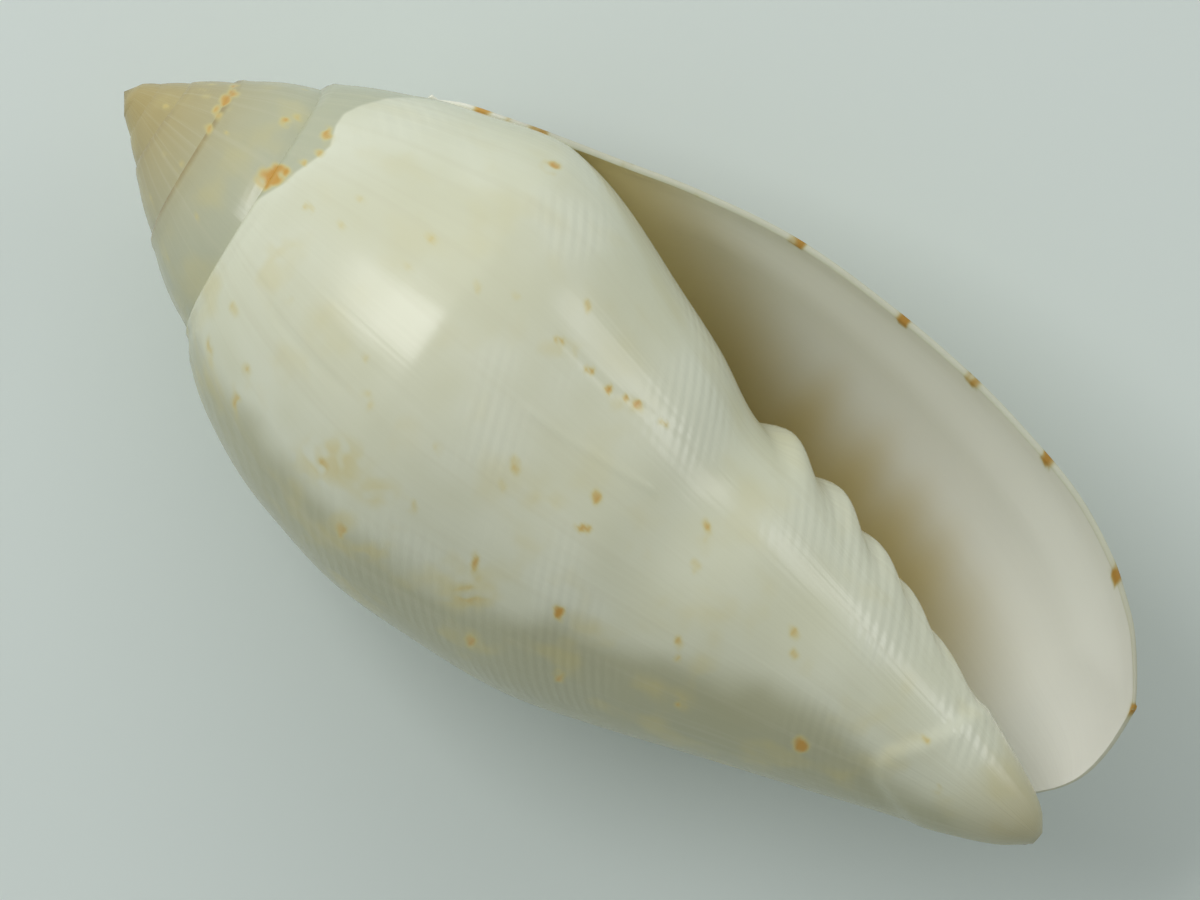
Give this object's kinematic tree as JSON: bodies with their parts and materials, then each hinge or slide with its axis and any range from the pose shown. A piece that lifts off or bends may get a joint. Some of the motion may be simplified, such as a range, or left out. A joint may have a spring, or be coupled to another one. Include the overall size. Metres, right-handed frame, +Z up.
{
  "type": "nut mitre shell",
  "caption": "Glossy cream spindle-shaped sea snail shell with orange-brown spots, a short spire, a long narrow aperture and a folded columella.",
  "frame": {"origin": "centre of the bounding box, on the plane of the worn spot that the shell rests on", "axes": "+X along the coiling axis from the apex to the front end, +Y towards the outer lip, +Z up out of the aperture"},
  "size_m": [0.0498, 0.0242, 0.021],
  "materials": {
    "shell": "glossy"
  },
  "bodies": {
    "root": {"shell": "shell"}
  },
  "joints": []
}
